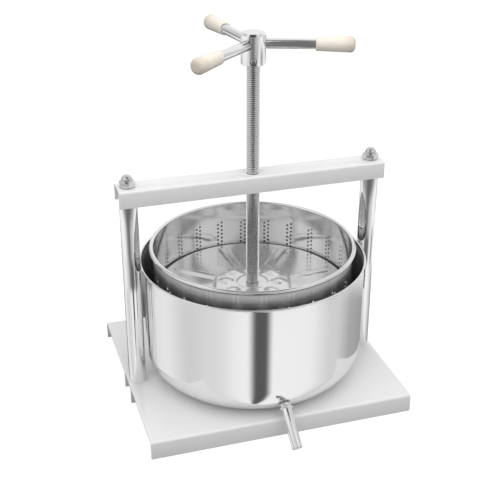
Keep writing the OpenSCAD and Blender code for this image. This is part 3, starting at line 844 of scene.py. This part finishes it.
class FRUITPRESS_OT_pot(bpy.types.Operator):
    """Deep-drawn pot with a rolled edge"""

    bl_idname = "fruit_press.pot"
    bl_label = "Pot"

    def execute(self, context):
        s = context.scene.fruit_press_sizes
        low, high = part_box("pot")
        floor, t, c, b = low.z, s.pot_wall, POT_ROUND, POT_BEAD
        wall = pot_radius()
        roll = high.z - b
        centre = wall - t + b
        outline = [(0, floor), (wall, floor, c), (wall, roll - b * 0.95)]
        outline += [(centre + b * math.cos(a), roll + b * math.sin(a))
                    for a in [math.radians(-80 + 22 * i) for i in range(12)]]
        outline += [(wall - t, roll), (wall - t, floor + t, c - t), (0, floor + t)]
        spout_bore = placed(prism(64, 5.85 * MM, c - 8 * MM, c + 8 * MM), spout_place())
        piece(placed(turned(outline, 256), upright()), "pot_drawn", "pot", ["pot"], "pot_steel",
              tools=[("DIFFERENCE", spout_bore)], sharp=50)
        return {"FINISHED"}


def pot_radius():
    """Radius of the pot at the outside of its wall: the rolled edge stands out past it."""
    low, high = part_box("pot")
    return (high.x - low.x) / 2 + bpy.context.scene.fruit_press_sizes.pot_wall - 2 * POT_BEAD


def spout_place():
    """Place of a shape whose own Z runs down the spout from the centre of the pot's rounded edge."""
    fall = math.radians(35)
    start = Vector((0, AXIS.y - pot_radius() + POT_ROUND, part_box("pot")[0].z + POT_ROUND))
    return Matrix.Translation(start) @ Matrix.Rotation(math.pi / 2 + fall, 4, "X")


class FRUITPRESS_OT_spout(bpy.types.Operator):
    """Flared stub welded in the pot and the tube pushed over it"""

    bl_idname = "fruit_press.spout"
    bl_label = "Spout"

    def execute(self, context):
        collar = POT_ROUND + 4 * MM
        bore, r, flare = 4.5 * MM, 5.8 * MM, 8 * MM
        inside, outside, end = POT_ROUND - 1.2 * MM, POT_ROUND + 0.05 * MM, collar + 22 * MM
        stub = [(bore, inside), (r, inside), (r, outside), (flare, outside, 0.5 * MM),
                (r, POT_ROUND + 3 * MM, 2 * MM), (r, end, 0.3 * MM), (bore, end, 0.3 * MM)]
        piece(placed(turned(stub, 64, closed=True), spout_place()), "spout_stub_flared", "pot",
              ["spout_stub"], "pot_steel")
        bore, r, roll, end = 6 * MM, 7 * MM, 1.5 * MM, collar + 57 * MM
        tube = [(bore, collar + roll)]
        tube += [(bore + roll + roll * math.cos(a), collar + roll + roll * math.sin(a))
                 for a in [math.radians(-165 + 24 * i) for i in range(10)]]
        tube += [(r, collar + 2.6 * MM), (r, end, 0.4 * MM), (bore, end, 0.4 * MM)]
        piece(placed(turned(tube, 64, closed=True), spout_place()), "spout_tube_rolled", "pot",
              ["spout_tube"], "pot_steel")
        return {"FINISHED"}


class FRUITPRESS_OT_basket(bpy.types.Operator):
    """Drawn basket with its pairs of drain-hole columns, rolled rim and round feet"""

    bl_idname = "fruit_press.basket"
    bl_label = "Basket"

    round_edge = 20 * MM
    bead = 3 * MM
    # how close two places are that count as one
    near = 1e-5

    def border(self, bm, test):
        """The open edges whose ends both pass a test of their place."""
        return [e for e in bm.edges if e.is_boundary and all(test(v.co) for v in e.verts)]

    def drain_cell(self, bm, s, x, z):
        """One cell of the wall: faces round a sixteen-sided hole, the cell's centre at x and z."""
        grid = bmesh.ops.create_grid(bm, x_segments=4, y_segments=4, size=0.5,
                                     matrix=Matrix.Rotation(math.pi / 2, 4, "X"))["verts"]
        inside = [v for v in grid if max(abs(v.co.x), abs(v.co.z)) < 0.4]
        rim = [v for v in grid if v not in inside]
        bmesh.ops.dissolve_verts(bm, verts=inside)
        plate = next(f for f in rim[0].link_faces if len(f.verts) == 16)
        bmesh.ops.scale(bm, verts=rim, vec=(s.hole_columns, 1, s.hole_pitch))
        bmesh.ops.inset_individual(bm, faces=[plate], thickness=0.6 * MM)
        for vert in plate.verts:
            turn = math.atan2(vert.co.z / s.hole_pitch, vert.co.x / s.hole_columns)
            turn = round(turn / (math.pi / 8)) * math.pi / 8
            vert.co = Vector((math.cos(turn), 0, math.sin(turn))) * s.hole / 2
        hole = list(plate.verts)
        bmesh.ops.translate(bm, verts=rim + hole, vec=(x, 0, z))
        bmesh.ops.delete(bm, geom=[plate], context="FACES_ONLY")

    def wall_group(self, s, top, low, half):
        """A flat strip of the wall, as wide as one group of holes, in the XZ plane."""
        bm = bmesh.new()
        quarter = s.hole_pitch / 4
        for side in (0, 1):
            for row in range(s.hole_rows):
                self.drain_cell(bm, s, (side - 0.5) * s.hole_columns, top - (row + side / 2) * s.hole_pitch)
        bmesh.ops.remove_doubles(bm, verts=bm.verts[:], dist=1e-6)
        # the columns are staggered by half a pitch, which plain wall makes up at one end of each
        ends = {}
        for side in (0, 1):
            left = (side - 1) * s.hole_columns
            for up in (1, -1):
                z = top + s.hole_pitch / 2 - side * s.hole_pitch / 2
                if up < 0:
                    z -= s.hole_rows * s.hole_pitch
                ends[side, up] = self.border(bm, lambda co: abs(co.z - z) < self.near and
                                             left - self.near < co.x < left + s.hole_columns + self.near)
        for (side, up), edges in ends.items():
            if (side == 1) == (up > 0):
                for _ in range(2):
                    edges = self.pulled(bm, edges, (0, 0, up * quarter))
            ends[side, up] = edges
        bmesh.ops.remove_doubles(bm, verts=bm.verts[:], dist=1e-6)
        # plain wall on both sides, joined to the close cells by one tall face
        for x in (-s.hole_columns, s.hole_columns):
            chain = self.border(bm, lambda co: abs(co.x - x) < self.near)
            step = (half - s.hole_columns) / 3 * (1 if x > 0 else -1)
            new = self.pulled(bm, chain, (step, 0, 0))
            strip = [edge.link_faces[0] for edge in new]
            face = bmesh.ops.dissolve_faces(bm, faces=strip, use_verts=True)["region"][0]
            outer = [e for e in face.edges if all(abs(v.co.x - x - step) < self.near for v in e.verts)]
            for _ in range(2):
                outer = self.pulled(bm, outer, (step, 0, 0))
        # plain wall up to the rolled rim and down to the rounded edge
        for up, level in ((1, max(v.co.z for v in bm.verts)), (-1, min(v.co.z for v in bm.verts))):
            edges = self.border(bm, lambda co: abs(co.z - level) < self.near)
            self.pulled(bm, edges, (0, 0, (self.wall_top if up > 0 else low) - level))
        return bm

    def pulled(self, bm, edges, vec):
        """Extrudes the edges along a vector and returns the new ones."""
        new = bmesh.ops.extrude_edge_only(bm, edges=edges)["geom"]
        bmesh.ops.translate(bm, verts=[g for g in new if isinstance(g, bmesh.types.BMVert)], vec=vec)
        return [g for g in new if isinstance(g, bmesh.types.BMEdge)]

    def execute(self, context):
        s = context.scene.fruit_press_sizes
        low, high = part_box("basket")
        t, b, c = s.basket_wall, self.bead, self.round_edge
        wall = (high.x - low.x) / 2 + t - 2 * b
        self.wall_top = high.z - b
        half = math.pi * wall / s.hole_groups
        bm = self.wall_group(s, high.z - s.hole_start, low.z + c, half)
        # the strip is bent round the axis and repeated
        for vert in bm.verts:
            turn = s.first_group + vert.co.x / wall
            vert.co = Vector((wall * math.cos(turn), wall * math.sin(turn), vert.co.z))
        bmesh.ops.spin(bm, geom=bm.verts[:] + bm.edges[:] + bm.faces[:], cent=(0, 0, 0), axis=(0, 0, 1),
                       angle=math.tau * (s.hole_groups - 1) / s.hole_groups, steps=s.hole_groups - 1,
                       use_duplicate=True)
        bmesh.ops.remove_doubles(bm, verts=bm.verts[:], dist=1e-5)
        # the rounded edge, and the floor
        edges = self.border(bm, lambda co: abs(co.z - low.z - c) < self.near)
        path = [(wall - c + c * math.cos(a), low.z + c - c * math.sin(a))
                for a in [math.pi / 2 * i / 9 for i in range(1, 10)]] + [(wall * 0.45, low.z)]
        for r, z in path:
            edges = self.pulled(bm, edges, (0, 0, 0))
            for vert in {v for e in edges for v in e.verts}:
                vert.co.xy *= r / vert.co.xy.length
                vert.co.z = z
        bmesh.ops.contextual_create(bm, geom=edges)
        bmesh.ops.recalc_face_normals(bm, faces=bm.faces[:])
        if sum(f.normal.xy.dot(f.calc_center_median().xy) for f in bm.faces) < 0:
            bmesh.ops.reverse_faces(bm, faces=bm.faces[:])
        piece(placed(bm, upright()), "basket_perforated", "basket", ["basket"], "basket_steel", wall=t,
              sharp=50)
        roll = [(wall - t + b + b * math.cos(a), self.wall_top + b * math.sin(a))
                for a in [math.tau * i / 20 for i in range(20)]]
        piece(placed(turned(roll, 200, closed=True), upright()), "basket_rolled_rim", "basket", ["basket"],
              "basket_steel")
        low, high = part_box("basket_feet")
        foot_r = 9 * MM
        ring = (high.x - foot_r) / math.cos(math.pi / 4)
        feet = bmesh.new()
        for k in range(4):
            turn = math.pi / 4 + k * math.pi / 2
            foot = turned([(0, low.z), (foot_r, low.z, 0.8 * MM), (foot_r, high.z), (0, high.z)], 48)
            placed(foot, upright(ring * math.cos(turn), AXIS.y + ring * math.sin(turn)))
            mesh = bpy.data.meshes.new("foot")
            foot.to_mesh(mesh)
            foot.free()
            feet.from_mesh(mesh)
            bpy.data.meshes.remove(mesh)
        piece(feet, "basket_feet_round", "basket", ["basket_feet"], "basket_steel")
        return {"FINISHED"}


class FRUITPRESS_OT_fasteners(bpy.types.Operator):
    """Finishes of the small pieces that keep the solids' own shapes"""

    bl_idname = "fruit_press.fasteners"
    bl_label = "Fasteners"

    def execute(self, context):
        slots = {row["node"]: row["material_slot"] for row in frame["record"]["subparts"]}
        for name, node in frame["nodes"].items():
            if not node.hide_render:
                node.data.materials.clear()
                node.data.materials.append(finish(slots[name]))
        return {"FINISHED"}


# The studio

class FRUITPRESS_OT_stage(bpy.types.Operator):
    """Floor, lamp, surroundings and camera"""

    bl_idname = "fruit_press.stage"
    bl_label = "Studio"

    def execute(self, context):
        scene = context.scene
        scene.view_settings.view_transform = "Standard"
        self.floor(scene)
        self.surroundings(scene)
        self.lamp(scene)
        self.flag(scene)
        self.camera(scene)
        return {"FINISHED"}

    def floor(self, scene):
        """A white floor that the camera sees as white, but for the soft shadow on it."""
        bm = bmesh.new()
        bmesh.ops.create_grid(bm, x_segments=1, y_segments=1, size=4)
        mesh = bpy.data.meshes.new("floor")
        bm.to_mesh(mesh)
        bm.free()
        floor = bpy.data.objects.new("floor", mesh)
        scene.collection.objects.link(floor)
        floor.visible_glossy = False
        material, tree, _ = start_material("white_paper_sweep")
        rays = add(tree, "ShaderNodeLightPath")
        paper = add(tree, "ShaderNodeBsdfDiffuse", {"Color": grey(0.3)})
        faint = add(tree, "ShaderNodeBsdfDiffuse", {"Color": grey(0.4)})
        glow = add(tree, "ShaderNodeEmission", {"Color": grey(1), "Strength": 0.8})
        seen = add(tree, "ShaderNodeAddShader", {0: faint.outputs[0], 1: glow.outputs[0]})
        both = add(tree, "ShaderNodeMixShader", {0: rays.outputs["Is Camera Ray"], 1: paper.outputs[0],
                                                 2: seen.outputs[0]})
        add(tree, "ShaderNodeOutputMaterial", {"Surface": both.outputs[0]})
        mesh.materials.append(material)

    def tent_wall(self, tree, part, stops):
        """Brightness of one band of the tent round the press. Each stop is an angle in degrees from
        the front towards the right, and the level there."""
        band = add(tree, "ShaderNodeValToRGB", {"Fac": part})
        ramp = band.color_ramp
        ramp.interpolation = "EASE"
        while len(ramp.elements) < len(stops):
            ramp.elements.new(0.5)
        for element, (degrees, level) in zip(ramp.elements, stops):
            element.position = degrees / 360 + 0.5
            element.color = grey(level)
        return band.outputs[0]

    # What the tent shows at each height, as the sine of its elevation: a band takes over between the
    # first two values, and its stops are an angle from the front towards the right and the level there.
    floor_band = [(-180, 0.07), (-160, 0.2), (-146, 0.82), (-120, 0.9), (-86, 0.7), (-60, 0.78), (-23, 1),
                  (-13, 0.095), (-4, 0.095), (5, 1), (40, 0.98), (75, 0.72), (110, 0.42), (135, 0.36),
                  (180, 0.07)]
    bands = [
        # the posts' band, dark in front and to the right
        (-0.49, -0.46, [(-180, 0.42), (-145, 0.5), (-128, 0.85), (-110, 1), (-85, 0.9), (-65, 0.75),
                        (-45, 0.5), (-30, 0.25), (-15, 0.14), (5, 0.14), (18, 0.4), (32, 0.95), (45, 0.9),
                        (56, 0.42), (68, 0.34), (84, 0.9), (100, 1), (148, 1), (165, 0.4), (180, 0.42)]),
        # the band of the hub and the screw, dark to the left of the front
        (-0.37, -0.32, [(-180, 0.6), (-150, 0.78), (-126, 1), (-78, 1), (-60, 0.72), (-42, 0.36),
                        (-30, 0.2), (-14, 0.2), (-4, 0.46), (12, 0.62), (36, 0.8), (50, 1), (84, 1),
                        (100, 0.85), (114, 0.45), (150, 0.9), (170, 0.55), (180, 0.6)]),
        # the band of the arms' flanks, dark all along the front
        (-0.2, -0.12, [(-180, 0.9), (-160, 0.35), (-130, 0.25), (-100, 0.4), (-60, 0.3), (-30, 0.16),
                       (0, 0.16), (25, 0.3), (60, 0.5), (90, 0.6), (120, 0.9), (150, 1), (180, 0.9)]),
        # the band that the basket and the plate look into
        (0.08, 0.18, [(-180, 0.9), (-150, 0.7), (-128, 0.58), (-113, 0.8), (-98, 1), (-75, 0.92),
                      (-53, 0.78), (-38, 0.66), (-22, 0.58), (-8, 0.6), (8, 0.74), (30, 0.86), (48, 0.9),
                      (66, 0.78), (82, 0.63), (97, 0.72), (112, 0.95), (150, 0.95), (180, 0.9)]),
        # the roof, open to a dark room in front and to the left
        (0.86, 0.93, [(-180, 0.8), (-100, 0.8), (-84, 0.05), (30, 0.05), (50, 0.8), (180, 0.8)]),
    ]

    def surroundings(self, scene):
        """White all round for the camera; for metal, a light tent of several bands."""
        world = bpy.data.worlds.new("light_tent")
        scene.world = world
        world.use_nodes = True
        tree = world.node_tree
        tree.nodes.clear()
        rays = add(tree, "ShaderNodeLightPath")
        sky = add(tree, "ShaderNodeTexCoord").outputs["Generated"]
        way = add(tree, "ShaderNodeSeparateXYZ", {"Vector": sky})
        front = add(tree, "ShaderNodeMath", {0: way.outputs["Y"], 1: -1}, operation="MULTIPLY")
        turn = add(tree, "ShaderNodeMath", {0: way.outputs["X"], 1: front.outputs[0]}, operation="ARCTAN2")
        part = add(tree, "ShaderNodeMapRange",
                   {"Value": turn.outputs[0], "From Min": -math.pi, "From Max": math.pi}).outputs[0]
        tent = self.tent_wall(tree, part, self.floor_band)
        for low, high, stops in self.bands:
            rise = add(tree, "ShaderNodeMapRange",
                       {"Value": way.outputs["Z"], "From Min": low, "From Max": high})
            wall = self.tent_wall(tree, part, stops)
            tent = add(tree, "ShaderNodeMix", {0: rise.outputs[0], 6: tent, 7: wall},
                       data_type="RGBA").outputs[2]
        white = add(tree, "ShaderNodeBackground", {"Color": grey(1), "Strength": 1})
        plain = add(tree, "ShaderNodeBackground", {"Color": grey(1), "Strength": 0.6})
        tented = add(tree, "ShaderNodeBackground", {"Color": tent, "Strength": 1})
        shine = add(tree, "ShaderNodeMixShader", {0: rays.outputs["Is Glossy Ray"], 1: plain.outputs[0],
                                                  2: tented.outputs[0]})
        seen = add(tree, "ShaderNodeMixShader", {0: rays.outputs["Is Camera Ray"], 1: shine.outputs[0],
                                                 2: white.outputs[0]})
        add(tree, "ShaderNodeOutputWorld", {"Surface": seen.outputs[0]})

    def lamp(self, scene):
        """A large soft lamp above, a little to the front."""
        light = bpy.data.lights.new("overhead_soft_lamp", "AREA")
        light.energy = 24.5
        light.size = 2.5
        lamp = bpy.data.objects.new("overhead_soft_lamp", light)
        lamp.location = (-0.1, -0.75, 1.8)
        toward = Vector((0, 0, 0.2)) - Vector(lamp.location)
        lamp.rotation_euler = toward.to_track_quat("-Z", "Y").to_euler()
        lamp.visible_glossy = False
        scene.collection.objects.link(lamp)

    def flag(self, scene):
        """A grey card in front of the handle, bent in under it, that only the metal reflects. It has
        a slot at the height that the hub's sides reflect."""
        bm = bmesh.new()
        # distance in front of the screw's axis, and height
        below, above = ((0.1, 0.33), (0.25, 0.35), (0.25, 0.4)), ((0.25, 0.452), (0.25, 0.89))
        for strip in (below, above):
            rows = [[bm.verts.new((x, -away, z)) for x in (-0.1, 0.13)] for away, z in strip]
            for (a, b), (c, d) in zip(rows, rows[1:]):
                bm.faces.new((a, b, d, c))
        placed(bm, Matrix.Translation(AXIS) @ Matrix.Rotation(math.radians(-19.5), 4, "Z"))
        mesh = bpy.data.meshes.new("flag")
        bm.to_mesh(mesh)
        bm.free()
        flag = bpy.data.objects.new("flag", mesh)
        scene.collection.objects.link(flag)
        flag.visible_camera = flag.visible_diffuse = flag.visible_shadow = flag.visible_transmission = False
        material, tree, _ = start_material("grey_card")
        card = add(tree, "ShaderNodeEmission", {"Color": grey(0.17), "Strength": 1})
        add(tree, "ShaderNodeOutputMaterial", {"Surface": card.outputs[0]})
        mesh.materials.append(material)

    def camera(self, scene):
        """The photograph's camera: from the front left, looking down on the pot."""
        yaw, pitch, roll = (math.radians(a) for a in (17.53, 26.65, 0.2))
        forward = Vector((math.sin(yaw) * math.cos(pitch), math.cos(yaw) * math.cos(pitch), -math.sin(pitch)))
        right = Vector((math.cos(yaw), -math.sin(yaw), 0))
        up = right.cross(forward)
        tilt = Matrix.Rotation(roll, 3, -forward)
        right, up = tilt @ right, tilt @ up
        lens = bpy.data.cameras.new("camera")
        lens.lens, lens.sensor_width = 72.6, 36
        camera = bpy.data.objects.new("camera", lens)
        camera.matrix_world = (Matrix.Translation((-0.3753, -1.1613, 0.8245))
                               @ Matrix((right, up, -forward)).transposed().to_4x4())
        scene.collection.objects.link(camera)
        scene.camera = camera


class FRUITPRESS_PT_panel(bpy.types.Panel):
    """Sizes, colours and the steps that build the press"""

    bl_idname = "FRUITPRESS_PT_panel"
    bl_label = "Fruit Press"
    bl_space_type = "VIEW_3D"
    bl_region_type = "UI"
    bl_category = "Fruit Press"

    def draw(self, context):
        column = self.layout.column()
        for group in (context.scene.fruit_press_sizes, context.scene.fruit_press_colours):
            for name in type(group).__annotations__:
                column.prop(group, name)
        for step in STEPS:
            column.operator(step.bl_idname)


STEPS = (FRUITPRESS_OT_base, FRUITPRESS_OT_posts, FRUITPRESS_OT_crossbeam, FRUITPRESS_OT_nuts,
         FRUITPRESS_OT_screw, FRUITPRESS_OT_handle, FRUITPRESS_OT_plate, FRUITPRESS_OT_pot,
         FRUITPRESS_OT_spout, FRUITPRESS_OT_basket, FRUITPRESS_OT_fasteners, FRUITPRESS_OT_stage)
CLASSES = (FruitPressSizes, FruitPressColours, *STEPS, FRUITPRESS_PT_panel)


def register():
    for cls in CLASSES:
        bpy.utils.register_class(cls)
    bpy.types.Scene.fruit_press_sizes = PointerProperty(type=FruitPressSizes)
    bpy.types.Scene.fruit_press_colours = PointerProperty(type=FruitPressColours)


def unregister():
    del bpy.types.Scene.fruit_press_colours
    del bpy.types.Scene.fruit_press_sizes
    for cls in reversed(CLASSES):
        bpy.utils.unregister_class(cls)


def main():
    register()
    for step in STEPS:
        getattr(bpy.ops.fruit_press, step.bl_idname.split(".")[1])()


if __name__ == "__main__":
    main()
